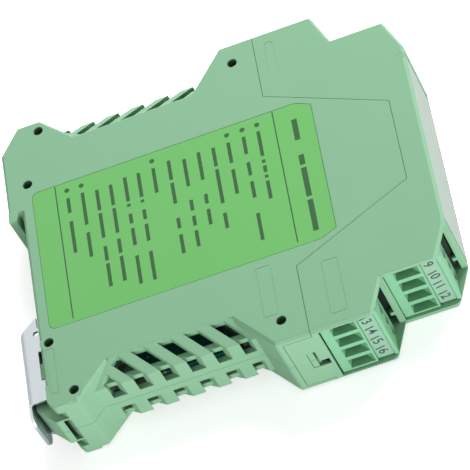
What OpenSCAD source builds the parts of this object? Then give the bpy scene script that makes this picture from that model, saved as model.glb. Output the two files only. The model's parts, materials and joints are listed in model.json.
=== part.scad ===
// Signal isolator module for a 35 mm rail, lying on its flat side.
// X runs from the rail (low) to the front face (high), Y from the lower to the
// upper terminal rows, Z across the width of the housing. Sizes in millimetres.

/* [Housing] */
// Width across the two side faces
housing_w = 22.5; // [22:0.1:26]
// Height across the two outer terminal steps
housing_h = 99; // [95:0.5:106]
// Depth from the rail heel to the front face
housing_d = 112.4; // [106:0.2:120]
// Wall of the two lower half shells
shell_wall = 1.8; // [1.4:0.1:2.2]
// Side skin of the upper housing
upper_skin = 1.1; // [0.8:0.1:1.4]
// Walls between the terminal bays of the upper housing
bay_wall = 1.6; // [1.2:0.1:2]
// Rounding of the outline's corners
corner_r = 1; // [0.4:0.1:1.4]
// Chamfer on the edges of the side faces
edge_cut = 0.7; // [0.3:0.1:1]
// Gap at the joint lines of the housing
seam = 0.1; // [0.06:0.02:0.2]

/* [Terminals] */
// Depth taken by one terminal step
bay_run = 18.5; // [17.5:0.1:20]
// Height taken by one terminal step
step_h = 10.1; // [9.6:0.1:11]
// Depth of the slanted end of a step
slope_run = 4.1; // [3.4:0.1:5]
// How far a plug lies below the side walls
plug_sink = 1.3; // [1:0.1:1.6]
// Running gap between a plug and its bay
plug_gap = 0.35; // [0.2:0.05:0.5]
// Wire entry along the plug
entry_l = 6.5; // [5.6:0.1:7]
// Wire entry across the plug
entry_w = 3.6; // [3:0.1:3.8]
// Radius of a clamp screw's head
screw_head_r = 1.6; // [1.2:0.05:1.65]

/* [Vents] */
// Slots in each row
slot_n = 6; // [4:1:7]
// Slot along the depth
slot_w = 3.7; // [3:0.1:4.2]
// Drop of the vent face below the terminal step
vent_drop = 6.6; // [6:0.1:8]
// How far the vent face leans in towards the side face
vent_lean = 6.2; // [5:0.1:7]
// Width of the leaning vent face, across the housing
vent_side = 3.8; // [3:0.1:4.4]

/* [Rail and foot] */
// Rail width
rail_w = 35; // [34.6:0.1:35.4]
// Thickness of the rail's lip
rail_lip = 1; // [0.8:0.1:1.5]
// Depth of the rail seat in front of the heel
rail_seat = 3.9; // [3.6:0.1:4.6]
// Sheet of the foot catch
foot_sheet = 0.8; // [0.6:0.1:1]
// Width of the foot catch
foot_w = 15.3; // [14:0.1:16]
// How far the foot catch stands behind the heel
foot_out = 2.6; // [2.2:0.1:3]
// Travel of the foot catch when it is pulled
foot_travel = 4; // [3:0.1:4.4]

/* [Label and front] */
// Height of the side label
label_h = 45; // [30:0.5:48]
// Thickness of the side label
label_t = 0.2; // [0.1:0.05:0.4]
// Thickness of the clear front cover
cover_t = 1.5; // [1.2:0.1:1.8]
// Radius of the cover's hinge studs
stud_r = 0.7; // [0.5:0.05:0.8]

/* [Inside] */
// Thickness of the circuit board
board_t = 1.6; // [1:0.1:2]
// Radius of the pins that join the half shells
pin_r = 1.3; // [1:0.05:1.6]

/* [Hidden] */
$fn = 32;
eps = 0.01;
past = 1;

green = "#8cbe98";
plug_green = "#8cd7a5";

// Levels: the two terminal steps (1 outer, 2 inner) and the hood, from the middle out
mid = housing_w / 2;
y1 = housing_h / 2;
y2 = y1 - step_h;
y3 = y2 - step_h;
bay1_x = housing_d - 2 * bay_run;
bay2_x = housing_d - bay_run;
flat_run = bay_run - slope_run;
origin_x = (housing_d - foot_out) / 2;

// Outline of the lower housing
skirt_reach = 2;
shoulder = 9.3;
shoulder_k = 0.79;
seam_x = bay1_x - skirt_reach;
shoulder_x = seam_x - shoulder;
heel_drop = 3;
heel_y = y1 - heel_drop;
heel_corner_x = 5.4;
heel_flat = 6.4;
heel_x = heel_corner_x + heel_flat;
heel_bevel = 7.7;
heel_back_y = heel_y - heel_bevel;
foot_cut_y = heel_back_y + heel_bevel * rail_seat / heel_corner_x;
vent_y = y1 - vent_drop;
vent_in = vent_y - vent_lean;
tongue_drop = 1;
tongue_root = y3 - tongue_drop;
tongue_y = 13;
tongue_back = 6.8;
tongue_x = housing_d - tongue_back;
rail_play = 0.1;
rail_half = rail_w / 2 + rail_play;
hook_reach = 2.1;
hook_y = rail_half - hook_reach;
hook_slant = 0.8;

function vent_x0(y) = heel_x + heel_y - y;
function vent_x1(y) = shoulder_x - shoulder_k * (y1 - y);

lower_side = [
    [rail_seat, -foot_cut_y],
    [heel_corner_x, -heel_y],
    [heel_x, -heel_y],
    [vent_x0(vent_in), -vent_in],
    [vent_x1(vent_in), -vent_in],
    [shoulder_x, -y1],
    [seam_x, -y1],
    [seam_x, -tongue_root],
    [tongue_x, -tongue_y]
];
upper_side = [
    [tongue_x, tongue_y],
    [seam_x, tongue_root],
    [seam_x, y1],
    [shoulder_x, y1],
    [vent_x1(vent_in), vent_in],
    [vent_x0(vent_in), vent_in],
    [heel_x, heel_y],
    [heel_corner_x, heel_y],
    [0, heel_back_y],
    [0, rail_half],
    [rail_seat, rail_half]
];
lower_outline = concat(lower_side, upper_side);
// Corner radii in the order of the outline, none where the upper housing meets it
lower_radii = corner_r * [
    0.5, 1, 1, 0.6, 0.6, 1.4, 0, 0, 0, 0, 0, 0, 1.4, 0.6, 0.6, 1, 1, 1, 0, 0
];
// Edges that are chamfered at the side face, in the same order
vent_edges = [3, 13];
lower_cut = [for (i = [0 : len(lower_outline) - 1]) (i < 6 || i > 10) && !in_list(i, vent_edges)];
// Wall on every edge but the five that the upper housing covers
open_edge = -25;
lower_walls = [
    for (i = [0 : len(lower_outline) - 1]) i >= 6 && i <= 10 ? open_edge : shell_wall
];

function in_list(v, list) = len([for (w = list) if (w == v) w]) > 0;
function unit(v) = v / norm(v);
function crossing(p, d, q, e) =
    p + d * ((q[0] - p[0]) * e[1] - (q[1] - p[1]) * e[0]) / (d[0] * e[1] - d[1] * e[0]);
// Moves each edge of a counter-clockwise outline inwards by its own distance
function inset(pts, by) =
    let (n = len(pts),
         dir = [for (i = [0 : n - 1]) unit(pts[(i + 1) % n] - pts[i])],
         at = [for (i = [0 : n - 1]) pts[i] + by[i] * [-dir[i][1], dir[i][0]]])
    [for (i = [0 : n - 1]) crossing(at[(i + n - 1) % n], dir[(i + n - 1) % n], at[i], dir[i])];

// Replaces each corner of an outline by an arc
arc_steps = 5;
function corner_arc(a, p, b, r) =
    let (u = unit(a - p),
         v = unit(b - p),
         half = acos(u * v) / 2,
         c = p + unit(u + v) * r / sin(half),
         from = p + u * r / tan(half) - c,
         to = p + v * r / tan(half) - c,
         start = atan2(from[1], from[0]),
         sweep = (atan2(to[1], to[0]) - start + 900) % 360 - 180)
    [for (k = [0 : arc_steps])
        c + r * [cos(start + sweep * k / arc_steps), sin(start + sweep * k / arc_steps)]];
function rounded(pts, radii) =
    let (n = len(pts))
    [for (i = [0 : n - 1])
        each radii[i] == 0
            ? [pts[i]]
            : corner_arc(pts[(i + n - 1) % n], pts[i], pts[(i + 1) % n], radii[i])];
function flipped(pts) = [for (i = [len(pts) - 1 : -1 : 0]) [pts[i][0], -pts[i][1]]];

module place() translate([-origin_x, 0, 0]) children();
module both_sides() {
    children();
    mirror([0, 1, 0]) children();
}
// Chamfers the upper edges of a counter-clockwise outline
cut_stop = 0.6;
module edge_cuts(pts, cut, h, c) {
    n = len(pts);
    function turn(i) = cross(pts[i] - pts[(i + n - 1) % n], pts[(i + 1) % n] - pts[i]);
    for (i = [0 : n - 1]) if (cut[i]) {
        j = (i + 1) % n;
        run = pts[j] - pts[i];
        start = turn(i) > 0 ? past : cut[(i + n - 1) % n] ? 0 : -cut_stop;
        end = turn(j) > 0 ? past : cut[j] ? 0 : -cut_stop;
        translate([pts[i][0], pts[i][1], h]) rotate([0, 0, atan2(run[1], run[0])])
            translate([-start, 0, 0]) rotate([90, 0, 90]) linear_extrude(norm(run) + start + end)
                polygon([[-past, -c - past], [c + past, past], [-past, past]]);
        // An inner corner is cut by a cone
        if (turn(i) < 0 && cut[(i + n - 1) % n])
            translate([pts[i][0], pts[i][1], h - c]) cylinder(r1 = 0, r2 = c + past, h = c + past);
    }
}
module box(low, high) translate(low) cube(high - low);

// Lower half shells. They are drawn from the parting plane, z = 0, out to the side face.
half_w = mid;
vent_bend = half_w - vent_side;
slot_first = 3.4;
slot_last = 0.7;
slot_pitch = (vent_x1(vent_y) - vent_x0(vent_y) - slot_first - slot_last - slot_w) / (slot_n - 1);
window_z0 = 2.35;
window_h = 3.2;
window_z1 = window_z0 + window_h;
bar_sink = 1.3;
bar_t = 1.7;
bar_h = 1.6;
slot_lip = 0.3;
slot_rim = 1;
vent_reach = 6;
vent_join = 0.3;
vent_section = [
    [vent_in - vent_reach, 0], [vent_y, 0], [vent_y, vent_bend], [vent_in, half_w],
    [vent_in - vent_reach, half_w]
];

// Plan of the vent bulge between the two slanted walls, drawn in by a distance
module vent_plan(by) {
    low = vent_in - vent_reach;
    polygon([
        [vent_x0(vent_y + past) + by * sqrt(2), vent_y + past],
        [vent_x0(low) + by * sqrt(2), low],
        [vent_x1(low) - by * norm([1, shoulder_k]), low],
        [vent_x1(vent_y + past) - by * norm([1, shoulder_k]), vent_y + past]
    ]);
}
// The bulge reaches a little into both slanted walls, its inside does not
module vent_bulge(by, open, join) {
    intersection() {
        rotate([90, 0, 90])
            linear_extrude(shoulder_x) polygon(inset(vent_section, [-open, by, by, by, -open]));
        translate([0, 0, -past]) linear_extrude(half_w + 2 * past) vent_plan(by - join);
    }
}
// Openings that run at 45 degrees in plan, kept off the two slanted walls
module vent_cuts(low, z0, z1) {
    high = vent_y + past;
    intersection() {
        translate([0, 0, z0]) linear_extrude(z1 - z0)
            for (i = [0 : slot_n - 1]) {
                x = vent_x0(vent_y) + slot_first + i * slot_pitch;
                polygon([
                    [x - vent_y + low, low], [x + slot_w - vent_y + low, low],
                    [x + slot_w + past, high], [x + past, high]
                ]);
            }
        linear_extrude(2 * half_w) vent_plan(slot_rim);
    }
}
module vent_slots() vent_cuts(vent_in + slot_lip, window_z1, half_w + past);
module vent_windows() vent_cuts(vent_y - shell_wall - past, window_z0, window_z1 + eps);
module vent_bar() {
    y = vent_y - bar_sink;
    box([vent_x0(y), y - bar_t, window_z1], [vent_x1(y), y, window_z1 + bar_h]);
}

// Joining pins and their bosses
boss_wall = 1.1;
pin_play = 0.05;
boss_r = pin_r + pin_play + boss_wall;
pin_sunk = 2.4;
pin_l = half_w - pin_sunk;
boss_in = 6.6;
boss_rail_wall = 2.45;
boss_rail_y = 26.2;
boss_seam = 6.4;
boss_heel = [heel_x - 0.5, y1 - boss_in];
boss_rail = [rail_seat + boss_rail_wall, boss_rail_y];
boss_step = [seam_x - boss_seam, y1 - boss_in];
bosses = [for (s = [-1, 1], p = [boss_heel, boss_rail, boss_step]) [p[0], s * p[1]]];

// Foot block between the flanges of the catch: a hollow wedge in a notch of the heel
block_half = 5.25;
block_x = -1.1;
block_top_y = rail_half + 1.4;
block_root = 2.2;
block_join = 0.5;
notch_d = 5.2;
notch_x = 7.3;
notch_y = heel_y - notch_d;
notch_half = 8.15;
wedge_x = 3.6;
wedge_t = 1.8;
fin_t = 0.6;
fill_x = 9.6;
fill_y = notch_y - 2;
flange_in = rail_seat - 0.2;
guide_w = 1;
guide_play = 0.1;
guide_x = flange_in - 0.5 - guide_w;
guide_low_y = -34.2;
guide_l = 4.9;
spring_r = 1.5;
spring_wire_r = 0.25;
spring_play = 0.4;
spring_x = 1;
spring_low_y = -38.6;
tab_y = -26.6;
tab_half = 1.3;
tab_inset = 0.5;
foot_low_y = foot_cut_y - 4;

module foot_block() {
    difference() {
        union() {
            box([block_x, -notch_y, 0], [heel_corner_x + block_root, -block_top_y, block_half]);
            // Slanted end plate and the fin at its side
            linear_extrude(block_half) polygon([
                [block_x, -notch_y + block_join], [block_x, -notch_y], [wedge_x, -heel_y],
                [wedge_x + wedge_t, -heel_y], [block_x + wedge_t, -notch_y],
                [block_x + wedge_t, -notch_y + block_join]
            ]);
            translate([0, 0, block_half - fin_t]) linear_extrude(fin_t) polygon([
                [block_x, -notch_y + block_join], [block_x, -notch_y], [wedge_x, -heel_y],
                [notch_x + block_join, -heel_y], [notch_x + block_join, -notch_y + block_join]
            ]);
            // The guide stands through the catch's slot
            box([guide_x, guide_low_y, 0],
                [guide_x + guide_w, guide_low_y + guide_l, foot_w / 2 + guide_play]);
        }
        box([block_x - past, spring_low_y, -past],
            [spring_x + spring_r + spring_play, tab_y + foot_sheet + guide_play + past,
             spring_r + spring_play]);
    }
}
module heel_fill() {
    linear_extrude(half_w) intersection() {
        polygon(rounded(lower_outline, lower_radii));
        translate([rail_seat, -heel_y]) square([fill_x - rail_seat, heel_y - fill_y]);
    }
}
module foot_notch() {
    translate([0, 0, -past]) linear_extrude(notch_half + past) polygon([
        [block_x - past, -heel_y - past], [notch_x + past, -heel_y - past],
        [notch_x - notch_d, -notch_y], [block_x - past, -notch_y]
    ]);
}
module rail_hook() {
    linear_extrude(half_w) polygon([
        [0, rail_half + past], [0, hook_y], [rail_seat - rail_lip - hook_slant - rail_play, hook_y],
        [rail_seat - rail_lip - rail_play, rail_half], [rail_seat - rail_lip - rail_play, rail_half + past]
    ]);
}

// The upper housing's skirt lies in a shallow seat and snaps over a tab
skirt_t = 1;
skirt_x = seam_x - 7.55;
skirt_margin = 1.65;
skirt_short = 0.2;
snap_x = seam_x - 3.65;
snap_l = 4.7;
snap_half = 3.25;
snap_arm = 2.25;
snap_foot = 2.2;
tab_l = 1.65;
snap_rise = 1;
module skirt_seat() {
    box([skirt_x - seam, y1 - skirt_t - seam, -past],
        [seam_x + past, y1 + past, half_w - skirt_margin + seam]);
}
// Opening under the foot of the skirt's L-shaped slit
module snap_hole() {
    box([snap_x + snap_arm, y1 - shell_wall - past, snap_half - snap_foot],
        [snap_x + snap_l, y1 + past, snap_half]);
}
module snap_tab() {
    box([snap_x + seam, y1 - skirt_t - seam - eps, 0],
        [snap_x + tab_l, y1 - skirt_t - seam + snap_rise, snap_half - seam]);
}

// Shallow mould lines on the side face
mark_w = 0.16;
mark_depth = 0.05;
module mould_mark(x, y, w, h) {
    r = min(w, h) * 0.16;
    outer = [[x, y], [x + w, y], [x + w, y + h], [x, y + h]];
    inner = inset(outer, [mark_w, mark_w, mark_w, mark_w]);
    translate([0, 0, half_w - mark_depth]) linear_extrude(past) difference() {
        polygon(rounded(outer, [r, r, r, r]));
        polygon(rounded(inner, [r, r, r, r] * 0.8));
    }
}

// Side label: round corners at the rail end, cut corners at the front end
label_x0 = 7.2;
label_end = 27;
label_x1 = housing_d - label_end;
label_cut_x = 4.1;
label_cut_y = 2;
label_r = 1.8;
function label_outline(by) =
    let (h = label_h / 2)
    inset(
        [[label_x0, -h], [label_x1 - label_cut_x, -h], [label_x1, -h + label_cut_y],
         [label_x1, h - label_cut_y], [label_x1 - label_cut_x, h], [label_x0, h]],
        [by, by, by, by, by, by]);
label_radii = [label_r, 0, 0, 0, 0, label_r];

// Board position, measured from the outer face of the far half shell
board_z = shell_wall + 2.4;
post_r = 2;
post_x = [20, 60];
post_y = 28;

module shell_skin(near) {
    difference() {
        union() {
            difference() {
                linear_extrude(half_w) polygon(rounded(lower_outline, lower_radii));
                edge_cuts(lower_outline, lower_cut, half_w, edge_cut);
            }
            both_sides() vent_bulge(0, 0, vent_join);
        }
        translate([0, 0, -past]) linear_extrude(half_w - shell_wall + past)
            polygon(inset(lower_outline, lower_walls));
        both_sides() {
            vent_bulge(shell_wall, past, 0);
            vent_slots();
            vent_windows();
            skirt_seat();
            if (!near) snap_hole();
        }
    }
}
module half_shell(near) {
    difference() {
        union() {
            difference() {
                union() {
                    shell_skin(near);
                    heel_fill();
                }
                foot_notch();
            }
            both_sides() {
                vent_bar();
                snap_tab();
            }
            foot_block();
            rail_hook();
            for (p = bosses) translate(p) cylinder(r = boss_r, h = half_w - eps);
            if (!near) board_posts();
            if (!near) for (p = bosses) translate([p[0], p[1], -pin_l])
                cylinder(r = pin_r, h = pin_l + past);
        }
        if (near) for (p = bosses) translate([p[0], p[1], -past])
            cylinder(r = pin_r + pin_play, h = half_w + 2 * past);
        if (near) translate([0, 0, half_w - label_t]) linear_extrude(past)
            polygon(rounded(label_outline(-seam), label_radii));
        if (near) {
            mould_mark(boss_step[0] - 4.2, -boss_step[1] + 2.2, 4, 15.6);
            mould_mark(heel_corner_x - 0.4, -heel_back_y - 3.4, 2.4, 14);
        }
    }
}
module board_posts() {
    for (x = post_x, y = [-post_y, post_y])
        translate([x, y, half_w - board_z]) cylinder(r = post_r, h = board_z - shell_wall + past);
}
module lower_shell_near() color(green) place() translate([0, 0, mid]) half_shell(true);
module lower_shell_far()
    color(green) place() translate([0, 0, mid]) mirror([0, 0, 1]) half_shell(false);

// Upper housing: a U of two skins with stepped bays between them
upper_steps = [
    [seam_x + seam, -y1],
    [bay1_x + flat_run, -y1],
    [bay2_x - seam, -y2],
    [bay2_x + flat_run, -y2],
    [housing_d, -y3]
];
upper_radii = corner_r * [0, 2.2, 0.4, 1.8, 0.6];
tongue_cut = inset(
    [[seam_x, -tongue_root], [tongue_x, -tongue_y], [tongue_x, tongue_y], [seam_x, tongue_root]],
    [-seam, -seam, -seam, seam]);
strip_w = 1.7;
tooth_w = 1.3;
tooth_l = 1.1;
tooth_z = 5.6;
hinge_back = 1.1;
hinge_x = housing_d - hinge_back;
hinge_in = 3;
hinge_y = y3 - hinge_in;
stud_play = 0.05;

skin_join = 0.2;
wall_z0 = upper_skin - skin_join;
wall_z1 = housing_w - wall_z0;
upper_outline = concat(upper_steps, flipped(upper_steps));
upper_cut = [for (i = [0 : len(upper_outline) - 1]) i < len(upper_outline) - 1];
module upper_skin_plate() {
    difference() {
        linear_extrude(upper_skin) difference() {
            polygon(rounded(
                upper_outline, concat(upper_radii, [for (i = [4 : -1 : 0]) upper_radii[i]])));
            polygon(concat(
                tongue_cut, [[seam_x - past, tongue_cut[3][1]], [seam_x - past, tongue_cut[0][1]]]));
        }
        edge_cuts(upper_outline, upper_cut, upper_skin, min(edge_cut, upper_skin - skin_join));
    }
}
// One bay wall with the slot and the tooth at its front end
module bay_wall_at(x, y) {
    slot_x0 = x + flat_run + seam;
    slot_x1 = x + bay_run - strip_w;
    difference() {
        box([x, y - bay_wall, wall_z0], [x + bay_run, y, wall_z1]);
        box([slot_x0, y - bay_wall - past, upper_skin], [slot_x1, y + past, housing_w - upper_skin]);
    }
    box([slot_x1 - tooth_l, y - bay_wall, tooth_z - tooth_w / 2],
        [slot_x1 + eps, y, tooth_z + tooth_w / 2]);
}
module upper_skirt() {
    end_x = seam_x + skirt_reach - skirt_short;
    difference() {
        union() {
            box([skirt_x, y1 - skirt_t, skirt_margin], [end_x, y1, housing_w - skirt_margin]);
            box([seam_x + seam, y1 - skirt_t, wall_z0], [end_x, y1, wall_z1]);
        }
        box([snap_x, y1 - skirt_t - past, mid - snap_half],
            [snap_x + snap_arm, y1 + past, mid + snap_half]);
        box([snap_x, y1 - skirt_t - past, mid - snap_half],
            [snap_x + snap_l, y1 + past, mid - snap_half + snap_foot]);
    }
}
module upper_housing() color(green) place() difference() {
    union() {
        translate([0, 0, upper_skin]) mirror([0, 0, 1]) upper_skin_plate();
        translate([0, 0, housing_w - upper_skin]) upper_skin_plate();
        both_sides() {
            bay_wall_at(bay1_x, y2);
            bay_wall_at(bay2_x, y3);
            upper_skirt();
        }
        front_ledges();
    }
    translate([hinge_x, hinge_y, -past]) cylinder(r = stud_r + stud_play, h = housing_w + 2 * past);
    translate([0, 0, mid])
        mould_mark(bay1_x + 4.2, -y1 + 3.4, 4.4, 16.6);
}
// Ledges inside the hood that carry the front plate
plate_t = 1;
plate_gap = 0.25;
plate_x = hinge_x - hinge_back - plate_gap - plate_t;
plate_play = 0.15;
ledge = 1.2;
module front_ledges() {
    both_sides() box(
        [plate_x - ledge, y3 - bay_wall - ledge, wall_z0],
        [plate_x, y3 - bay_wall + eps, wall_z1]);
}

// Front plate behind the clear cover, with a hole for the lamp
led_r = 1.5;
led_y = 18;
module front_plate() color("#dfe6e0") place() difference() {
    box(
        [plate_x, -y3 + bay_wall + plate_play, upper_skin + plate_play],
        [plate_x + plate_t, y3 - bay_wall - plate_play, housing_w - upper_skin - plate_play]);
    translate([plate_x - past, led_y, mid]) rotate([0, 90, 0])
        cylinder(r = led_r + plate_play, h = plate_t + 2 * past);
}

// Clear cover that swings on two moulded studs
cover_play = 0.2;
module front_cover() color("#c6d4cc") place() {
    low = -y3 + bay_wall + cover_play;
    z0 = upper_skin + cover_play;
    box([housing_d - cover_t, low, z0], [housing_d, hinge_y, housing_w - z0]);
    translate([hinge_x, hinge_y, z0]) cylinder(r = hinge_back, h = housing_w - 2 * z0);
    translate([hinge_x, hinge_y, eps]) cylinder(r = stud_r, h = housing_w - 2 * eps);
}

module side_label() color("#76c270") place()
    translate([0, 0, housing_w - label_t]) linear_extrude(label_t)
        polygon(rounded(label_outline(0), label_radii));

// Foot catch: a folded sheet channel with a pull tongue and a spring tab
nose_x = rail_seat - rail_lip - 0.3;
nose_y = 14.5;
nose_shoulder = 0.2;
nose_back_y = 18.6;
tongue_low_y = foot_cut_y + 0.9;
tongue_r = 3;
catch_hole_r = 0.8;
catch_hole_in = 0.5;
catch_bend = 1.6;
tongue_side = 0.9;
tongue_half = foot_w / 2 - tongue_side;
// Section of the channel: a U with round bends
module catch_section() {
    reach = flange_in + foot_out + past;
    outer = [
        [-foot_out, -foot_w / 2], [-foot_out + reach, -foot_w / 2],
        [-foot_out + reach, foot_w / 2], [-foot_out, foot_w / 2]
    ];
    inner = inset(outer, [foot_sheet, -past, foot_sheet, foot_sheet]);
    difference() {
        polygon(rounded(outer, [catch_bend, 0, 0, catch_bend]));
        polygon(rounded(inner, [catch_bend - foot_sheet, 0, 0, catch_bend - foot_sheet]));
    }
}
module foot_catch() color("#d7dee2") place() translate([0, 0, mid]) {
    difference() {
        intersection() {
            translate([0, past, 0]) rotate([90, 0, 0])
                linear_extrude(tongue_low_y + 2 * past) catch_section();
            // Side outline: the flanges' nose, their lower end and the pull tongue
            translate([0, 0, -foot_w]) linear_extrude(2 * foot_w) polygon([
                [nose_x, -nose_y], [-foot_out, -nose_back_y], [-foot_out, -tongue_low_y],
                [-foot_out + foot_sheet, -tongue_low_y], [-foot_out + foot_sheet, -foot_low_y],
                [flange_in, -foot_low_y], [flange_in, -rail_half - nose_shoulder],
                [nose_x, -rail_half - nose_shoulder]
            ]);
            union() {
                box([-foot_out - past, -foot_low_y, -foot_w], [flange_in + past, 0, foot_w]);
                rotate([90, 0, 90]) translate([0, 0, -foot_out - past])
                    linear_extrude(foot_sheet + 2 * past) polygon(rounded(
                        [[-tongue_low_y, -tongue_half], [-nose_back_y, -tongue_half],
                         [-nose_back_y, tongue_half], [-tongue_low_y, tongue_half]],
                        [tongue_r, 0, 0, tongue_r]));
            }
        }
        // Slots for the guides and the small hole in each flange
        box([guide_x - guide_play, guide_low_y - guide_play, -foot_w],
            [guide_x + guide_w + guide_play, guide_low_y + guide_l + foot_travel + guide_play, foot_w]);
        translate([nose_x - catch_hole_in, -nose_back_y - catch_hole_r, -foot_w])
            cylinder(r = catch_hole_r, h = 2 * foot_w);
    }
    box([-foot_out + foot_sheet / 2, tab_y, -tab_half],
        [spring_x + spring_r - tab_inset, tab_y + foot_sheet, tab_half]);
}

// Coil spring between the catch's tab and the foot block
spring_turns = 7;
spring_sides = 8;
spring_steps = 12;
module foot_spring() color("#b8bcc0") place() translate([spring_x, 0, mid]) {
    n = spring_turns * spring_steps;
    low = spring_low_y + spring_wire_r;
    run = tab_y - spring_wire_r - low;
    coil_r = spring_r - spring_wire_r;
    ring = [for (i = [0 : n], k = [0 : spring_sides - 1])
        let (a = 360 * i / spring_steps,
             b = 360 * k / spring_sides,
             r = coil_r + spring_wire_r * cos(b))
        [r * cos(a), low + run * i / n + spring_wire_r * sin(b), r * sin(a)]];
    sides = [for (i = [0 : n - 1], k = [0 : spring_sides - 1])
        let (a = i * spring_sides, b = a + spring_sides, j = (k + 1) % spring_sides)
        [a + k, a + j, b + j, b + k]];
    start = [[for (k = [spring_sides - 1 : -1 : 0]) k]];
    end = [[for (k = [0 : spring_sides - 1]) n * spring_sides + k]];
    polyhedron(points = ring, faces = concat(sides, start, end), convexity = 8);
}

// Circuit board and what stands on it
board_top = board_z + board_t;
board_half = [
    [9.2, 0], [9.2, vent_in - shell_wall - 0.7], [seam_x - 4.2, vent_in - shell_wall - 0.7],
    [seam_x - 4.2, y2 - 0.4], [bay1_x - 1, y2 - 0.4], [bay1_x - 1, y2 - bay_wall - 0.6],
    [bay2_x - 6.8, y2 - bay_wall - 0.6], [bay2_x - 6.8, y3 - 0.3], [bay2_x - 2, y3 - 0.3],
    [bay2_x - 2, y3 - bay_wall - 0.5], [plate_x - ledge - 0.6, y3 - bay_wall - ledge - 0.5],
    [plate_x - ledge - 0.6, 0]
];
module main_board() color("#1f5a38") place() translate([0, 0, board_z]) linear_extrude(board_t)
    both_sides() polygon(board_half);

room_h = housing_w - shell_wall - board_top;
core_l = 16;
core_w = 14;
core_top_gap = 1.7;
coil_rise = 1;
coil_play = 0.2;
core_h = room_h - core_top_gap - coil_rise - coil_play;
core_leg = 3;
core_x = 36;
core_y = 4;
module transformer_core() color("#3a3d40") place() translate([core_x, core_y, board_top]) difference() {
    cube([core_l, core_w, core_h]);
    for (y = [core_leg, core_w / 2 + core_leg / 2])
        box([core_leg, y, -past], [core_l - core_leg, y + core_w / 2 - 1.5 * core_leg, core_h + past]);
}
// The winding fills the core's windows round the middle leg
module transformer_winding() color("#b06a34") place() translate([core_x, core_y, board_top]) {
    gap = core_w / 2 - 1.5 * core_leg;
    for (y = [core_leg, core_w / 2 + core_leg / 2])
        box([core_leg + coil_play, y + coil_play, 0],
            [core_l - core_leg - coil_play, y + gap - coil_play, core_h + coil_play + coil_rise]);
    box([core_leg + coil_play, core_leg + coil_play, core_h + coil_play],
        [core_l - core_leg - coil_play, core_w - core_leg - coil_play, core_h + coil_play + coil_rise]);
}

can_r = 3.15;
can_top_gap = 3.9;
can_h = room_h - can_top_gap;
can_crimp = 0.25;
can_groove = 1;
can_edge = 0.3;
cans = [[30, 22], [58, -14], [66, 12]];
module capacitors() color("#33383d") place()
    for (p = cans) translate([p[0], p[1], board_top]) rotate_extrude() polygon([
        [0, 0], [can_r, 0], [can_r, can_groove], [can_r - can_crimp, can_groove + can_crimp],
        [can_r - can_crimp, can_groove + 2 * can_crimp], [can_r, can_groove + 3 * can_crimp],
        [can_r, can_h - can_edge], [can_r - can_edge, can_h], [0, can_h]
    ]);

// Moulded chip packages with bent legs down each long side
chip_stand = 0.3;
chip_leg = 0.5;
chip_foot = 0.9;
module chip(l, w, h, legs) {
    translate([-l / 2, -w / 2, chip_stand]) cube([l, w, h]);
    for (i = [0 : legs - 1], s = [-1, 1])
        translate([(i - (legs - 1) / 2) * l / legs, s * (w / 2 + chip_foot / 2 - eps), 0])
            translate([-chip_leg / 2, -chip_foot / 2, 0])
                cube([chip_leg, chip_foot, h / 2 + chip_stand]);
}
opto_l = 8.6;
opto_w = 6.4;
opto_h = 3.4;
optos = [[24, -10], [24, -22], [48, -26]];
module optocouplers() color("#26282a") place()
    for (p = optos) translate([p[0], p[1], board_top]) chip(opto_l, opto_w, opto_h, 3);
amp_l = 5;
amp_w = 4;
amp_h = 1.5;
chips = [[62, 28], [78, -6], [82, 16], [96, 0]];
module amplifier_chips() color("#1e2022") place()
    for (p = chips) translate([p[0], p[1], board_top]) chip(amp_l, amp_w, amp_h, 4);

led_l = 5;
led_leg = 0.5;
led_leg_y = 0.6;
led_tip_gap = 0.4;
module status_led() color("#c8e86a") place() {
    tip_x = housing_d - cover_t - led_tip_gap;
    translate([tip_x - led_r, led_y, mid]) rotate([0, -90, 0]) {
        cylinder(r = led_r, h = led_l - led_r);
        sphere(r = led_r);
    }
    for (s = [-1, 1])
        box([tip_x - led_l - led_leg, led_y + s * led_leg_y - led_leg / 2, board_top],
            [tip_x - led_l + led_leg, led_y + s * led_leg_y + led_leg / 2, mid + led_leg]);
}

// Terminals. A plug is drawn from its rear outer corner: x to the front, y inwards, z across.
poles = 4;
plug_end_gap = 0.15;
plug_side_gap = 0.15;
plug_over = 0.8;
plug_l = flat_run - 2 * plug_end_gap + plug_over;
plug_t = step_h - plug_sink - plug_gap;
plug_w = housing_w - 2 * upper_skin - 2 * plug_side_gap;
pitch = plug_w / poles;
function pole_z(k) = (k - (poles - 1) / 2) * pitch;
header_play = 0.15;
header_wall = 0.65;
header_half = half_w - max(shell_wall, upper_skin) - header_play;
nose_l = 3.2;
nose_inset = 2;
nose_low = nose_inset;
nose_high = plug_t - nose_inset;
nose_play = 0.15;
nose_half = header_half - header_wall - nose_play;
pin_t = 0.6;
pin_hole = 1.2;
pin_y = plug_t / 2;
pin_tip = 1.4;
rim_l = 1;
rim_h = 0.15;
entry_x = 2.35;
entry_rise = 0.5;
entry_draft = 0.75;
entry_floor = 3.6;
entry_ramp = 3;
cage_x0 = 2.6;
cage_x1 = 8.4;
cage_y0 = 4.2;
cage_end = 0.8;
cage_y1 = plug_t - cage_end;
cage_side = 0.5;
cage_w = pitch - 2 * cage_side;
cage_wall = 0.7;
cage_play = 0.08;
screw_y = (cage_y0 + cage_y1) / 2;
screw_r = 1.1;
screw_sink = 1.2;
screw_head_l = 1.6;
screw_slot = 0.5;
screw_play = 0.08;
marker_x0 = 9.5;
marker_end = 0.12;
marker_x1 = plug_l - rim_l - marker_end;
marker_t = 0.15;
marker_sink = 0.3;
marker_side = 0.4;

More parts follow.
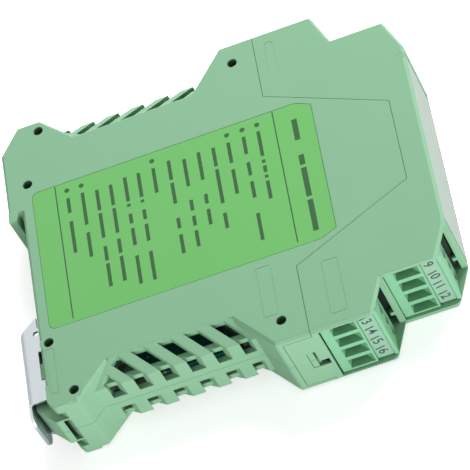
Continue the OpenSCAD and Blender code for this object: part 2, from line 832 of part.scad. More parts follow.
module place_plug(level, side) place()
    translate([(level == 1 ? bay1_x : bay2_x) + plug_end_gap,
               side * ((level == 1 ? y1 : y2) - plug_sink), mid]) {
        if (side > 0) mirror([0, 1, 0]) children();
        else children();
    }
module plug_body() {
    difference() {
        union() {
            box([0, 0, -plug_w / 2], [plug_l, plug_t, plug_w / 2]);
            box([plug_l - rim_l, -rim_h, -plug_w / 2], [plug_l, eps, plug_w / 2]);
            box([0, -entry_rise, -plug_w / 2], [marker_x0 - marker_end, eps, plug_w / 2]);
            box([-nose_l, nose_low, -nose_half], [eps, nose_high, nose_half]);
        }
        box([marker_x0 - marker_end, -past, -plug_w / 2 - past],
            [marker_x1 + marker_end, marker_sink, plug_w / 2 + past]);
        for (k = [0 : poles - 1]) translate([0, 0, pole_z(k)]) {
            translate([0, 0, -entry_w / 2]) linear_extrude(entry_w) polygon([
                [entry_x, -past], [entry_x + entry_l, -past], [entry_x + entry_l, -entry_rise],
                [entry_x + entry_floor, entry_ramp], [entry_x + entry_floor, cage_y0 + past],
                [entry_x + entry_draft, cage_y0 + past]
            ]);
            box([cage_x0 - cage_play, cage_y0 - cage_play, -cage_w / 2 - cage_play],
                [cage_x1 + cage_play, cage_y1 + cage_play, cage_w / 2 + cage_play]);
            translate([cage_x1 - past, screw_y, 0]) rotate([0, 90, 0])
                cylinder(r = screw_head_r + screw_play, h = plug_l);
            box([-nose_l - past, pin_y - pin_hole / 2, -pin_hole / 2],
                [cage_x0 - 0.4, pin_y + pin_hole / 2, pin_hole / 2]);
        }
    }
}
// Wire cages: a box frame open towards the entry, tapped for the screw
module clamp_cages() {
    for (k = [0 : poles - 1]) translate([0, 0, pole_z(k)]) difference() {
        box([cage_x0, cage_y0, -cage_w / 2], [cage_x1, cage_y1, cage_w / 2]);
        box([cage_x0 + cage_wall, cage_y0 - past, -cage_w / 2 + cage_wall],
            [cage_x1 - 2 * cage_wall, cage_y1 + past, cage_w / 2 - cage_wall]);
        translate([cage_x1 - 3 * cage_wall, screw_y, 0]) rotate([0, 90, 0])
            cylinder(r = screw_r + screw_play, h = 3 * cage_wall + past);
    }
}
module clamp_screws() {
    head_x = plug_l - screw_sink - screw_head_l;
    for (k = [0 : poles - 1]) translate([0, screw_y, pole_z(k)]) difference() {
        rotate([0, 90, 0]) union() {
            translate([0, 0, head_x]) cylinder(r = screw_head_r, h = screw_head_l);
            translate([0, 0, cage_x1 - 2 * cage_wall - 0.6])
                cylinder(r = screw_r, h = head_x - cage_x1 + 2 * cage_wall + 0.6 + eps);
        }
        box([plug_l - screw_sink - 0.8, -screw_slot / 2, -past - screw_head_r],
            [plug_l, screw_slot / 2, past + screw_head_r]);
    }
}
module marker_strip() {
    box([marker_x0, marker_sink - marker_t, -plug_w / 2 + marker_side],
        [marker_x1, marker_sink, plug_w / 2 - marker_side]);
}

// Headers behind the plugs, with pins that drop to the board
header_l = 5.4;
header_gap = 0.3;
header_low = 0.9;
header_high = plug_t - 0.55;
header_base = 2;
drop_first = plug_t + 0.85;
drop_pitch = 2.4;
module header_body() {
    difference() {
        box([-header_l, header_low, -header_half], [-header_gap, header_high, header_half]);
        box([-header_l + header_base, nose_low - nose_play, -nose_half - nose_play],
            [past, nose_high + nose_play, nose_half + nose_play]);
        for (k = [0 : poles - 1])
            box([-header_l - past, pin_y - pin_t / 2, pole_z(k) - pin_t / 2],
                [past, pin_y + pin_t / 2, pole_z(k) + pin_t / 2]);
    }
}
module header_pins() {
    tail_x = -header_l - pin_t;
    for (k = [0 : poles - 1]) {
        z = pole_z(k);
        drop_y = drop_first + k * drop_pitch;
        above = mid + z > board_top;
        box([tail_x, pin_y - pin_t / 2, z - pin_t / 2], [pin_tip, pin_y + pin_t / 2, z + pin_t / 2]);
        box([tail_x, pin_y, z - pin_t / 2], [tail_x + pin_t, drop_y + pin_t, z + pin_t / 2]);
        box([tail_x, drop_y, above ? board_top - mid : z - pin_t / 2],
            [tail_x + pin_t, drop_y + pin_t, above ? z + pin_t / 2 : board_z - mid]);
    }
}

// Rows by terminal numbers: 1 to 8 along the top, 9 to 16 along the bottom
module plug_01_04() color(plug_green) place_plug(2, 1) plug_body();
module plug_05_08() color(plug_green) place_plug(1, 1) plug_body();
module plug_09_12() color(plug_green) place_plug(2, -1) plug_body();
module plug_13_16() color(plug_green) place_plug(1, -1) plug_body();
module clamps_01_04() color("#c9b26a") place_plug(2, 1) clamp_cages();
module clamps_05_08() color("#c9b26a") place_plug(1, 1) clamp_cages();
module clamps_09_12() color("#c9b26a") place_plug(2, -1) clamp_cages();
module clamps_13_16() color("#c9b26a") place_plug(1, -1) clamp_cages();
module screws_01_04() color("#c8ccd0") place_plug(2, 1) clamp_screws();
module screws_05_08() color("#c8ccd0") place_plug(1, 1) clamp_screws();
module screws_09_12() color("#c8ccd0") place_plug(2, -1) clamp_screws();
module screws_13_16() color("#c8ccd0") place_plug(1, -1) clamp_screws();
module markers_01_04() color("#a9d3b8") place_plug(2, 1) marker_strip();
module markers_05_08() color("#a9d3b8") place_plug(1, 1) marker_strip();
module markers_09_12() color("#a9d3b8") place_plug(2, -1) marker_strip();
module markers_13_16() color("#a9d3b8") place_plug(1, -1) marker_strip();
module header_01_04() color("#6fae84") place_plug(2, 1) header_body();
module header_05_08() color("#6fae84") place_plug(1, 1) header_body();
module header_09_12() color("#6fae84") place_plug(2, -1) header_body();
module header_13_16() color("#6fae84") place_plug(1, -1) header_body();
module header_pins_01_04() color("#c9c4b0") place_plug(2, 1) header_pins();
module header_pins_05_08() color("#c9c4b0") place_plug(1, 1) header_pins();
module header_pins_09_12() color("#c9c4b0") place_plug(2, -1) header_pins();
module header_pins_13_16() color("#c9c4b0") place_plug(1, -1) header_pins();

lower_shell_near();
lower_shell_far();
upper_housing();
front_cover();
front_plate();
side_label();
foot_catch();
foot_spring();
main_board();
transformer_core();
transformer_winding();
capacitors();
optocouplers();
amplifier_chips();
status_led();
header_01_04();
header_05_08();
header_09_12();
header_13_16();
header_pins_01_04();
header_pins_05_08();
header_pins_09_12();
header_pins_13_16();
plug_01_04();
plug_05_08();
plug_09_12();
plug_13_16();
clamps_01_04();
clamps_05_08();
clamps_09_12();
clamps_13_16();
screws_01_04();
screws_05_08();
screws_09_12();
screws_13_16();
markers_01_04();
markers_05_08();
markers_09_12();
markers_13_16();
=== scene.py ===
import json
import math

import bmesh
import bpy
from mathutils import Matrix, Vector


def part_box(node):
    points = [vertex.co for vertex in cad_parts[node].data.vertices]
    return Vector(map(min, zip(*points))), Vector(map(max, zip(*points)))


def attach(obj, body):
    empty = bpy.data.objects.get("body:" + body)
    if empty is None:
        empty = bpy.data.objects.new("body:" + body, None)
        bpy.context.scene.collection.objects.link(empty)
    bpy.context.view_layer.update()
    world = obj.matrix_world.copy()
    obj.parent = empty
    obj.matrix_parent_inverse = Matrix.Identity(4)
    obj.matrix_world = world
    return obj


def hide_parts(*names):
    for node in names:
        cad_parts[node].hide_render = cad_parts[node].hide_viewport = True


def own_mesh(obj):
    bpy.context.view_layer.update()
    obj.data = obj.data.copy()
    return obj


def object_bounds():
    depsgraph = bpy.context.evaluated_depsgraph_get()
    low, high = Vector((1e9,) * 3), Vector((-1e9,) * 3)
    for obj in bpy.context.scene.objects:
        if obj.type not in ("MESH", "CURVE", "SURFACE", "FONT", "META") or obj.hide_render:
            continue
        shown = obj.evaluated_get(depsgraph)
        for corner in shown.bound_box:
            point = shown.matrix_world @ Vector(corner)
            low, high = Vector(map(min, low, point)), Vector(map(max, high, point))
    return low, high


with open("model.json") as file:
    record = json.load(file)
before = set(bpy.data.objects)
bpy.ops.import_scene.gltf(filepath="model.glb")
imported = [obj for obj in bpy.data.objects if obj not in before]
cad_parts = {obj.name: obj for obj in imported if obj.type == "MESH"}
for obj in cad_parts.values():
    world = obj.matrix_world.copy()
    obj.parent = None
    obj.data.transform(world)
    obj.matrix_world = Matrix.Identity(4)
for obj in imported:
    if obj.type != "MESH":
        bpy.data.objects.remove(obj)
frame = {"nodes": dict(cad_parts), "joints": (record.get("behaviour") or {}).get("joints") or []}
nodes = frame["nodes"]
cad_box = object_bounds()
bpy.context.scene.view_settings.view_transform = "Standard"

# Circuit board: glass-epoxy laminate under green solder resist, with tinned pads and copper
# tracks that show through the resist. It slides into the shells on edge and carries all the parts.
MM = 0.001
MIX_FACTOR, MIX_FIRST, MIX_SECOND, MIX_COLOUR = 0, 6, 7, 2


def srgb(red, green, blue):
    """A colour read off, 0 to 255, as the shader's linear colour."""
    steps = [c / 255 for c in (red, green, blue)]
    return [c / 12.92 if c <= 0.04045 else ((c + 0.055) / 1.055) ** 2.4 for c in steps] + [1]


class Flow:
    """An output socket of a node tree. Arithmetic on it adds Math nodes, and node() adds any
    other kind."""

    def __init__(self, tree, socket=None):
        self.tree, self.socket = tree, socket

    def node(self, kind, settings=None, inputs=None, out=0):
        """Any node, with its settings, its inputs and the output that is taken from it."""
        made = self.tree.nodes.new(kind)
        for key, value in (settings or {}).items():
            setattr(made, key, value)
        for key, value in (inputs or {}).items():
            if isinstance(value, Flow):
                self.tree.links.new(value.socket, made.inputs[key])
            else:
                made.inputs[key].default_value = value
        return Flow(self.tree, made.outputs[out])

    def maths(self, operation, *values):
        return self.node("ShaderNodeMath", {"operation": operation}, dict(enumerate(values)))

    def __add__(self, other):
        return self.maths("ADD", self, other)

    def __radd__(self, other):
        return self.maths("ADD", other, self)

    def __sub__(self, other):
        return self.maths("SUBTRACT", self, other)

    def __rsub__(self, other):
        return self.maths("SUBTRACT", other, self)

    def __mul__(self, other):
        return self.maths("MULTIPLY", self, other)

    def __rmul__(self, other):
        return self.maths("MULTIPLY", other, self)

    def __gt__(self, other):
        return self.maths("GREATER_THAN", self, other)

    def __lt__(self, other):
        return self.maths("LESS_THAN", self, other)

    def place(self, stretch=(1, 1, 1)):
        """Object coordinates in metres, stretched."""
        at = self.node("ShaderNodeTexCoord", out="Object")
        return self.node("ShaderNodeMapping", None, {"Vector": at, "Scale": stretch})

    def axes(self):
        """Object X, Y and Z, in metres."""
        split = self.node("ShaderNodeSeparateXYZ", None, {"Vector": self.place()})
        return [Flow(self.tree, out) for out in split.socket.node.outputs]

    def noise(self, scale, detail=2, rough=0.5, stretch=(1, 1, 1)):
        return self.node("ShaderNodeTexNoise", None, {
            "Vector": self.place(stretch), "Scale": scale, "Detail": detail, "Roughness": rough})

    def mix(self, factor, first, second):
        """Two colours, mixed by a factor that is held between 0 and 1."""
        return self.node("ShaderNodeMix", {"data_type": "RGBA"}, {
            MIX_FACTOR: factor, MIX_FIRST: first, MIX_SECOND: second}, out=MIX_COLOUR)

    def bump(self, height, strength, depth, radius=0):
        """A relief of that depth, on edges that are rounded by radius."""
        worn = {}
        if radius:
            worn["Normal"] = self.node("ShaderNodeBevel", {"samples": 6}, {"Radius": radius})
        return self.node("ShaderNodeBump", None, {
            "Height": height, "Strength": strength, "Distance": depth, **worn})


def finish_of(name):
    """A new material: its Flow for the pattern, and its Principled shader for the sockets."""
    made = bpy.data.materials.new(name)
    made.use_nodes = True
    shader = made.node_tree.nodes["Principled BSDF"]
    return made, Flow(made.node_tree), shader


def feed(flow, shader, **sockets):
    """Links patterns to a shader's sockets, or sets a plain value."""
    for key, value in sockets.items():
        socket = shader.inputs[key.replace("_", " ")]
        if isinstance(value, Flow):
            flow.tree.links.new(value.socket, socket)
        else:
            socket.default_value = value


def dress(finish, *names):
    """Gives CAD solids a finish in their own material slots."""
    for name in names:
        for spot in nodes[name].material_slots:
            spot.material = finish


black, white = (0, 0, 0, 1), (1, 1, 1, 1)
track_share, pad_size, tinned_from = 0.5, 0.22, 0.5
resist, flow, shader = finish_of("solder_resist")
cells = flow.node("ShaderNodeTexBrick", None, {
    "Vector": flow.place(), "Scale": 160, "Mortar Size": 0.035, "Brick Width": 0.9,
    "Row Height": 0.35, "Color1": black, "Color2": black, "Mortar": white})
tracks = flow.node("ShaderNodeSeparateColor", None, {"Color": cells})
pads = flow.node("ShaderNodeTexVoronoi", None, {"Vector": flow.place(), "Scale": 420}) < pad_size
patches = flow.noise(90, detail=3)
laminate = flow.mix(tracks * track_share, srgb(40, 132, 116), srgb(66, 168, 146))
tinned = flow.mix(pads * (patches > tinned_from), laminate, srgb(190, 196, 194))
feed(flow, shader, Base_Color=tinned, Roughness=0.28 + patches * 0.25,
     Normal=flow.bump(tracks + pads, strength=0.3, depth=0.05 * MM))
dress(resist, "main_board")

# Transformer, capacitors, chips and lamp: a sintered ferrite core with a taped winding, sleeved
# cans, moulded packages and a cast lens. They are soldered to the board, and some show dimly
# through the vents.
ferrite, flow, shader = finish_of("sintered_ferrite")
speck = flow.noise(1800, detail=4)
feed(flow, shader, Base_Color=flow.mix(speck, srgb(34, 34, 36), srgb(62, 62, 64)),
     Roughness=0.6 + speck * 0.2, Normal=flow.bump(speck, strength=0.3, depth=0.08 * MM))
dress(ferrite, "transformer_core")

tape, flow, shader = finish_of("winding_tape")
turns = flow.node("ShaderNodeTexWave", {"bands_direction": "Z"}, {
    "Vector": flow.place(), "Scale": 260, "Distortion": 1.0, "Detail": 1})
feed(flow, shader, Base_Color=flow.mix(turns, srgb(150, 120, 40), srgb(205, 172, 70)),
     Roughness=0.3 + turns * 0.15, Normal=flow.bump(turns, strength=0.35, depth=0.1 * MM))
dress(tape, "transformer_winding")

sleeve, flow, shader = finish_of("capacitor_sleeve")
film = flow.noise(300)
feed(flow, shader, Base_Color=flow.mix(film, srgb(24, 30, 44), srgb(40, 48, 66)),
     Roughness=0.22 + film * 0.12, Coat_Weight=0.3)
dress(sleeve, "capacitors")

package, flow, shader = finish_of("moulded_package")
speck = flow.noise(2600, detail=3)
feed(flow, shader, Base_Color=flow.mix(speck, srgb(26, 26, 28), srgb(44, 44, 46)),
     Roughness=0.5 + speck * 0.2, Normal=flow.bump(speck, strength=0.25, depth=0.04 * MM))
dress(package, "optocouplers", "amplifier_chips")

lamp_lens, flow, shader = finish_of("lamp_lens")
cloud = flow.noise(500)
feed(flow, shader, Base_Color=flow.mix(cloud, srgb(60, 170, 84), srgb(120, 210, 130)),
     Roughness=0.15 + cloud * 0.1, Transmission_Weight=0.5, IOR=1.5)
dress(lamp_lens, "status_led")

# Headers and pins: dark green moulded sockets on the board behind each plug, painted darker still,
# near black, as painted shade for the dark behind the plugs, with tinned brass pins that the plugs
# slide on to.
socket_shaded_green, flow, shader = finish_of("header_plastic")
grain = flow.noise(2400, detail=3)
feed(flow, shader, Base_Color=flow.mix(grain, srgb(20, 36, 30), srgb(28, 46, 38)),
     Roughness=0.42 + grain * 0.16, Normal=flow.bump(grain, strength=0.15, depth=0.03 * MM))


def bright_metal(name, darker, brighter, pattern, smooth, uneven):
    """Drawn or plated metal: a blotched tone and an uneven gloss. pattern is for noise()."""
    made, flow, shader = finish_of(name)
    blot = flow.noise(**pattern)
    feed(flow, shader, Base_Color=flow.mix(blot, darker, brighter), Metallic=1.0,
         Roughness=smooth + blot * uneven)
    return made


tinned_brass = bright_metal(
    "tinned_brass", srgb(188, 186, 176), srgb(222, 220, 212),
    {"scale": 900, "detail": 3, "stretch": (0.2, 1, 1)}, smooth=0.25, uneven=0.2)
plug_rows = ("01_04", "05_08", "09_12", "13_16")
for rows in plug_rows:
    dress(socket_shaded_green, "header_" + rows)
    dress(tinned_brass, "header_pins_" + rows)

# Lower half shells: two green moulded halves with a fine spark-eroded grain, pinned together at
# the middle, with the vent rows, the rail hook and the foot block in one piece with them.
housing_green, housing_pale = srgb(133, 182, 145), srgb(139, 187, 151)
# The dark colour that recesses and the rooms inside are painted toward: painted shade.
housing_painted_shade = srgb(18, 40, 30)
recess_reach, shade_from, shade_gain = 4 * MM, 0.1, 2.8
pit_share, pit_tone, grain_strength = 0.18, 0.86, 0.22
gloss_drift, plastic_ior = 0.08, 1.5


def moulded(name, colour, paler, shade_colour, grain_depth, gloss, radius, painted_shade_and_seam=None):
    """Moulded plastic: cloudy pigment with painted shade, darkened toward the shade colour in
    recesses by ambient occlusion and where the given mask says; an eroded grain, uneven gloss and
    softly rounded edges."""
    made, flow, shader = finish_of(name)
    cloud = flow.noise(45, detail=3)
    grain = flow.noise(3200, rough=0.6)
    # Painted shade: ambient occlusion darkens the pigment toward the shade colour in recesses.
    open_to_light = flow.node(
        "ShaderNodeAmbientOcclusion", {"samples": 6}, {"Distance": recess_reach}, out="AO")
    lit_share = (open_to_light - shade_from) * shade_gain
    pigment = flow.mix(lit_share, shade_colour, flow.mix(cloud, colour, paler))
    if painted_shade_and_seam:
        pigment = flow.mix(painted_shade_and_seam(flow), pigment, shade_colour)
    pitted = [c * pit_tone for c in colour[:3]] + [1]
    feed(flow, shader, Base_Color=flow.mix(grain * pit_share, pigment, pitted), IOR=plastic_ior,
         Roughness=gloss + cloud * gloss_drift + grain * gloss_drift,
         Normal=flow.bump(grain, strength=grain_strength, depth=grain_depth, radius=radius))
    return made


housing_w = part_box("lower_shell_near")[1].z
vent_y, vent_lean = 42.9 * MM, 6.2 * MM
vent_bend, vent_side = 7.45 * MM, 3.8 * MM
vent_reach, vent_back, vent_front = 9.4 * MM, -42.9 * MM, 11.1 * MM
rib_t, bar_t = 1.75 * MM, 1.35 * MM
bar_low, bar_high = 5.4 * MM, 7.2 * MM
parting_half, parting_shade = 0.07 * MM, 0.6


def behind_the_vents(flow):
    """Painted shade on the shells' inner surfaces behind the vent ribs and their bar, and the
    parting line between the halves.
    """
    x, y, z = flow.axes()
    height = flow.maths("ABSOLUTE", z - housing_w / 2)
    under = vent_y - flow.maths("ABSOLUTE", y)
    leaning = under * vent_side + (vent_bend - height) * vent_lean
    under_slope = leaning * (1 / math.hypot(vent_side, vent_lean))
    bar = (height > bar_low) * (height < bar_high)
    # room: where the shells are painted dark as painted shade, inside behind the vents.
    room = flow.maths("MINIMUM", under, under_slope) > bar * bar_t + rib_t
    room = room * (height < vent_reach) * (x > vent_back) * (x < vent_front)
    return flow.maths("MAXIMUM", room, (height < parting_half) * parting_shade)


shell_plastic = moulded(
    "shell_plastic", housing_green, housing_pale, housing_painted_shade, grain_depth=0.02 * MM, gloss=0.46,
    radius=0.3 * MM, painted_shade_and_seam=behind_the_vents)
dress(shell_plastic, "lower_shell_near", "lower_shell_far")

# Foot catch and its spring: folded zinc-plated sheet steel that hooks under the rail's lip, pushed
# home by a wound spring-steel coil. On the module the coil shortens as the catch is pulled; here it
# keeps one length. The rolled face shows faint drawing lines and plating clouds.
zinc, flow, shader = finish_of("zinc_plate")
drawn = flow.noise(700, detail=3, rough=0.55, stretch=(1, 0.06, 1))
bloom = flow.noise(120, detail=4)
feed(flow, shader, Base_Color=flow.mix(bloom, srgb(216, 224, 228), srgb(228, 234, 237)),
     Metallic=1.0, Roughness=0.3 + drawn * 0.12 + bloom * 0.1,
     Normal=flow.bump(drawn, strength=0.08, depth=0.03 * MM, radius=0.25 * MM))
dress(zinc, "foot_catch")


def mesh_of(name, form):
    """The mesh of a bmesh form, which is then let go."""
    data = bpy.data.meshes.new(name)
    form.to_mesh(data)
    form.free()
    return data


def shown(name, data, finish):
    """A new object with that mesh and one finish, at the origin."""
    data.materials.clear()
    data.materials.append(finish)
    made = bpy.data.objects.new(name, data)
    bpy.context.scene.collection.objects.link(made)
    return made


wire = bright_metal(
    "spring_wire", srgb(150, 152, 156), srgb(190, 192, 196), {"scale": 1500, "detail": 3},
    smooth=0.28, uneven=0.15)
form = bmesh.new()
form.from_mesh(nodes["foot_spring"].data)
piece = shown("catch_spring", mesh_of("catch_spring", form), wire)
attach(piece, "housing")
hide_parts("foot_spring")
coil_low, coil_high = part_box("foot_spring")
catch_travel = next(j for j in frame["joints"] if j["name"] == "catch_slide")["range_m"][1]
1 - catch_travel / (coil_high.y - coil_low.y)
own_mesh(piece)

# Upper housing: the U-shaped moulding that closes over the shells, with the stepped terminal bays.
# It is the same plastic as the shells and snaps on to them at the skirt.
hood_low, hood_high, hood_skin = -28.4 * MM, 27.6 * MM, 1.2 * MM
# The mould mark's recess is not in the shape; it is drawn only as painted shade.
mark_x, mark_top, mark_foot = 22.7 * MM, 44.6 * MM, 31.4 * MM
mark_r, mark_line, mark_depth = 1.2 * MM, 0.11 * MM, 0.05 * MM
mark_side_shade, mark_arch_shade, mark_arch_start = 0.22, 0.3, 0.5 * MM


def inside_the_hood(flow):
    """Painted shade on the room between the two skins and the bay walls, and the painted shade of a
    mould mark's shallow recess: a faint line, darker at its top arch and fading down its sides.
    """
    x, y, z = flow.axes()
    room = (y > hood_low) * (y < hood_high) * (z > hood_skin) * (z < housing_w - hood_skin)
    past_top = flow.maths("MAXIMUM", y - mark_top, 0)
    from_middle = flow.maths("SQRT", (x - mark_x) * (x - mark_x) + past_top * past_top)
    line = flow.maths("ABSOLUTE", from_middle - mark_r) < mark_line
    side_shade = (y - mark_foot) * (mark_side_shade / (mark_top - mark_foot))
    shade = side_shade + (past_top > mark_arch_start) * mark_arch_shade
    mark = line * flow.maths("MAXIMUM", shade, 0) * (z > housing_w - mark_depth)
    return flow.maths("MAXIMUM", room, mark)


housing_plastic = moulded(
    "housing_plastic", housing_green, housing_pale, housing_painted_shade, grain_depth=0.02 * MM, gloss=0.46,
    radius=0.3 * MM, painted_shade_and_seam=inside_the_hood)
dress(housing_plastic, "upper_housing")

# Terminal plugs: paler mint mouldings that push into the bays, each with four wire funnels, tinned
# wire cages, plated clamp screws, and a grey-green number strip with printed terminal numbers.
# The third colour is the painted shade in recesses.
mint = moulded(
    "plug_plastic", srgb(127, 189, 147), srgb(135, 196, 155), srgb(20, 60, 38),
    grain_depth=0.015 * MM, gloss=0.4, radius=0.12 * MM)
cage = bright_metal(
    "wire_cage", srgb(150, 150, 146), srgb(196, 196, 190), {"scale": 800, "detail": 3},
    smooth=0.3, uneven=0.2)
plated = bright_metal(
    "plated_screw", srgb(176, 178, 176), srgb(216, 218, 216), {"scale": 1400, "detail": 3},
    smooth=0.25, uneven=0.2)
# The third colour is the painted shade in recesses.
strip = moulded(
    "number_strip", srgb(142, 185, 159), srgb(148, 191, 165), srgb(80, 114, 96),
    grain_depth=0.01 * MM, gloss=0.44, radius=0.05 * MM)


def printed(name, darker, paler, scale, matt, uneven):
    """Printing ink, a little worn."""
    made, flow, shader = finish_of(name)
    fade = flow.noise(scale, detail=3)
    feed(flow, shader, Base_Color=flow.mix(fade, darker, paler), Roughness=matt + fade * uneven)
    return made


ink = printed("number_ink", srgb(44, 60, 54), srgb(66, 84, 76), scale=2200, matt=0.5, uneven=0.2)
number_size = 3.7 * MM
number_weight, number_spacing = 0.012, 0.94
number_lift = 0.02 * MM
number_shift = 0.4 * MM
number_turn = math.radians(13)
number_places = (18.5 * MM, 13.9 * MM, 9.3 * MM, 4.7 * MM)


def number(text, at, right, up, body):
    """One printed number, flat on its strip."""
    words = bpy.data.curves.new("digits", "FONT")
    words.body = text
    words.size = number_size
    words.align_x = "CENTER"
    words.align_y = "CENTER"
    words.space_character = number_spacing
    words.offset = number_weight * number_size
    writing = bpy.data.objects.new("digits", words)
    bpy.context.scene.collection.objects.link(writing)
    bpy.context.view_layer.update()
    data = bpy.data.meshes.new_from_object(writing)
    bpy.data.objects.remove(writing)
    turn = Matrix((right, up, right.cross(up))).transposed().to_4x4()
    data.transform(Matrix.Translation(at) @ turn @ Matrix.Rotation(number_turn, 4, "Z"))
    piece = shown("number_" + text, data, ink)
    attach(piece, body)


for rows in plug_rows:
    first = int(rows[:2])
    dress(mint, "plug_" + rows)
    dress(cage, "clamps_" + rows)
    dress(plated, "screws_" + rows)
    dress(strip, "markers_" + rows)
    low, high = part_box("markers_" + rows)
    top = high.y > 0
    face = high.y + number_lift if top else low.y - number_lift
    middle = (low.x + high.x) / 2 - number_shift
    right, up = Vector((0, 0, -1)), Vector((-1 if top else 1, 0, 0))
    for step, z in enumerate(number_places):
        number(str(first + step), Vector((middle, face, z)), right, up, "plug_" + rows)

# Front plate and clear cover: a plate of the housing's plastic with the lamp's hole, behind a
# frosted acrylic cover that swings on two moulded studs.
plate_end = -27.2 * MM


def in_the_hood(flow):
    """Painted shade: the lower end of the plate, down in the hood, painted dark."""
    return flow.axes()[1] < plate_end


plate_plastic = moulded(
    "plate_plastic", housing_green, housing_pale, housing_painted_shade, grain_depth=0.02 * MM, gloss=0.46,
    radius=0.1 * MM, painted_shade_and_seam=in_the_hood)
dress(plate_plastic, "front_plate")

acrylic, flow, shader = finish_of("frosted_acrylic")
haze = flow.noise(160, detail=3)
cover_low, cover_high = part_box("front_cover")
far_rim, stud_length = 1.6 * MM, 1.15 * MM
cover_z = flow.axes()[2]
rim = cover_z < cover_low.z + far_rim
stud = cover_z > cover_high.z - stud_length
clear = flow.mix(haze, srgb(174, 191, 181), srgb(188, 203, 194))
edged = flow.mix(rim, clear, srgb(140, 156, 147))
feed(flow, shader, Base_Color=flow.mix(stud, edged, srgb(150, 202, 163)),
     Roughness=0.36 + haze * 0.16, Transmission_Weight=0.2, IOR=1.49, Specular_IOR_Level=0.2)
dress(acrylic, "front_cover")

# Side label: a brighter green printed film in a shallow pocket of the shell, with two dark rules
# and rows of plain dark bars and dots where a data label has its print.
# The third colour is the painted shade in recesses.
film_green = moulded(
    "label_film", srgb(110, 186, 104), srgb(115, 190, 109), srgb(60, 120, 60),
    grain_depth=0.006 * MM, gloss=0.42, radius=0.05 * MM)
film_drop = 0.01 * MM
label_low, label_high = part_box("side_label")
form = bmesh.new()
form.from_mesh(nodes["side_label"].data)
for corner in form.verts:
    if corner.co.z > (label_low.z + label_high.z) / 2:
        corner.co.z -= film_drop
piece = shown("label_film", mesh_of("label_film", form), film_green)
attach(piece, "housing")
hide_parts("side_label")

print_ink = printed("label_print", srgb(52, 90, 54), srgb(64, 104, 66), scale=1800, matt=0.55,
                    uneven=0.15)
# Places in millimetres, with X from the housing's back. A rule has its X and its two ends. A row
# has its X, the bars' height, whether a dot leads it, and the two ends of each bar.
origin_x = -54.9
rule_height, dot_y, dot_r = 0.34, 19.8, 0.72
ink_drop = 0.003 * MM
rules = [(75.0, 22.3, -21.3), (13.75, 22.3, -21.3)]
print_rows = [
    (80.3, 1.5, False, [(17.5, 10.5), (5.5, 2.2), (1.2, -8.3), (-9.4, -19.5)]),
    (70.4, 1.0, True, [(17.6, 9.2), (8.0, 6.9), (6.0, 3.8), (2.9, 1.9), (0.9, -5.0)]),
    (66.3, 1.0, True, [(17.4, 11.6), (8.8, 4.4), (2.4, -3.0), (-8.2, -16.9)]),
    (62.0, 1.0, True, [(17.3, 10.4), (8.2, 0.1)]),
    (57.8, 1.0, False, [(17.3, 11.0), (10.0, -1.4), (-4.6, -9.6)]),
    (53.7, 1.0, False, [(17.5, 8.2), (3.4, 0.2), (-1.6, -6.7)]),
    (49.6, 1.0, False, [(16.9, 7.7), (3.1, -0.4), (-2.2, -5.4), (-7.0, -12.2)]),
    (45.4, 1.0, False, [(18.1, 11.6), (10.6, 3.6), (-1.2, -4.6), (-6.6, -12.8)]),
    (41.0, 1.0, True, [(17.4, 9.1)]),
    (36.8, 1.0, False, [(17.5, 9.4), (8.5, 7.6), (5.2, 2.0), (0.4, -5.2), (-8.6, -17.9)]),
    (33.0, 1.0, False, [(17.6, 9.5), (8.6, 7.7), (5.3, 2.1), (0.5, -5.1), (-8.5, -17.7)]),
    (28.9, 1.0, False, [(16.8, 9.9), (8.9, 0.7), (-1.3, -6.0), (-7.0, -15.1)]),
    (25.0, 1.0, False, [(16.7, 9.8), (8.8, 0.6), (-2.2, -6.9), (-7.9, -15.4)]),
    (21.0, 1.0, True, [(17.4, 6.6), (4.0, -4.1)]),
    (16.9, 1.0, True, [(17.2, 12.2), (9.4, -1.1)]),
]
form = bmesh.new()


def on_the_film(x, y):
    """The move to a place on the label."""
    return Matrix.Translation(((x + origin_x) * MM, y * MM, label_high.z - ink_drop))


def inked_bar(x, top_y, low_y, height):
    """A flat bar of ink along the height of the label, stretched from a unit square."""
    size = Matrix.Diagonal((height * MM, (top_y - low_y) * MM, 1, 1))
    bmesh.ops.create_grid(form, x_segments=1, y_segments=1, size=0.5,
                          matrix=on_the_film(x, (top_y + low_y) / 2) @ size)


for x, top_y, low_y in rules:
    inked_bar(x, top_y, low_y, rule_height)
for x, height, dotted, bars in print_rows:
    for top_y, low_y in bars:
        inked_bar(x, top_y, low_y, height)
    if dotted:
        bmesh.ops.create_circle(form, cap_ends=True, segments=20, radius=dot_r * MM,
                                matrix=on_the_film(x, dot_y))
piece = shown("label_print", mesh_of("label_print", form), print_ink)
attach(piece, "housing")

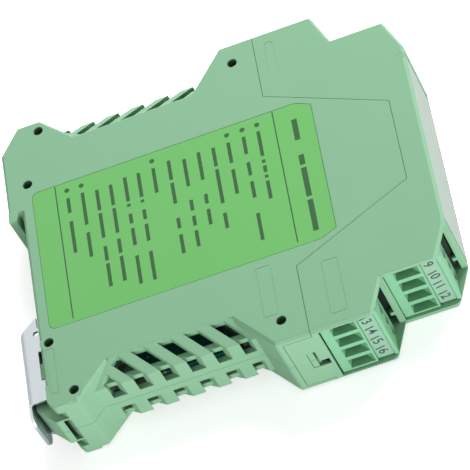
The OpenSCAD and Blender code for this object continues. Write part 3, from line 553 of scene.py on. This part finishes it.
# Studio: a plain white floor under the module, a soft lamp above and behind it, a long low one in
# front, an even white surround, and a long lens from above at the photograph's angle.
floor_half, floor_gap = 3.0, 0.2 * MM
floor_glow, room_light = (0.6, 0.6, 0.6, 1), (0.3, 0.3, 0.3, 1)
dim_side, side_level, side_gain = (0.38, 0.39, 0.41, 1), 1.25, 1.25
lamp_aim = Vector((0, 0, 10 * MM))
form = bmesh.new()
bmesh.ops.create_grid(form, x_segments=1, y_segments=1, size=floor_half,
                      matrix=Matrix.Translation((0, 0, cad_box[0][2] - floor_gap)))
paper, flow, shader = finish_of("studio_paper")
seen = flow.node("ShaderNodeLightPath", out="Is Camera Ray")
feed(flow, shader, Base_Color=srgb(246, 246, 246), Roughness=0.9, Emission_Strength=1.0,
     Emission_Color=flow.mix(seen, black, floor_glow))
shown("studio_floor", mesh_of("studio_floor", form), paper)

world = bpy.data.worlds.new("studio_surround")
world.use_nodes = True
bpy.context.scene.world = world
flow = Flow(world.node_tree)
way = flow.node("ShaderNodeTexCoord", out="Generated")
side = flow.node("ShaderNodeSeparateXYZ", None, {"Vector": way})
reflected = flow.mix(side_level + side * side_gain, dim_side, white)
glossy = flow.node("ShaderNodeLightPath", out="Is Glossy Ray")
through = flow.node("ShaderNodeLightPath", out="Is Transmission Ray")
seen = flow.node("ShaderNodeLightPath", out="Is Camera Ray")
lit = flow.mix(flow.maths("MAXIMUM", glossy, through), room_light, reflected)
surround = flow.mix(seen, lit, white)
feed(flow, world.node_tree.nodes["Background"], Color=surround, Strength=1)


def softbox(name, at, width, height, watts, mirrored):
    """A square-cornered soft lamp that faces the module. mirrored says whether gloss shows it."""
    lamp = bpy.data.lights.new(name, "AREA")
    lamp.shape = "RECTANGLE"
    lamp.size, lamp.size_y, lamp.energy = width, height, watts
    made = bpy.data.objects.new(name, lamp)
    made.location = at
    made.rotation_euler = (lamp_aim - Vector(at)).to_track_quat("-Z", "Y").to_euler()
    made.visible_glossy = mirrored
    bpy.context.scene.collection.objects.link(made)


softbox("top_lamp", (0.28, 0.5, 0.62), width=0.5, height=0.4, watts=7.2, mirrored=False)
softbox("front_lamp", (0.35, -0.85, 0.08), width=1.8, height=0.12, watts=9.4, mirrored=True)

long_lens = bpy.data.cameras.new("long_lens")
long_lens.sensor_width, long_lens.lens = 36, 243.416
long_lens.clip_start, long_lens.clip_end = 0.01, 20
camera = bpy.data.objects.new("long_lens", long_lens)
camera.location = (0.15177, -0.50879, 0.64154)
camera.rotation_euler = [math.radians(a) for a in (35.4584, 19.64, -8.7331)]
bpy.context.scene.collection.objects.link(camera)
bpy.context.scene.camera = camera
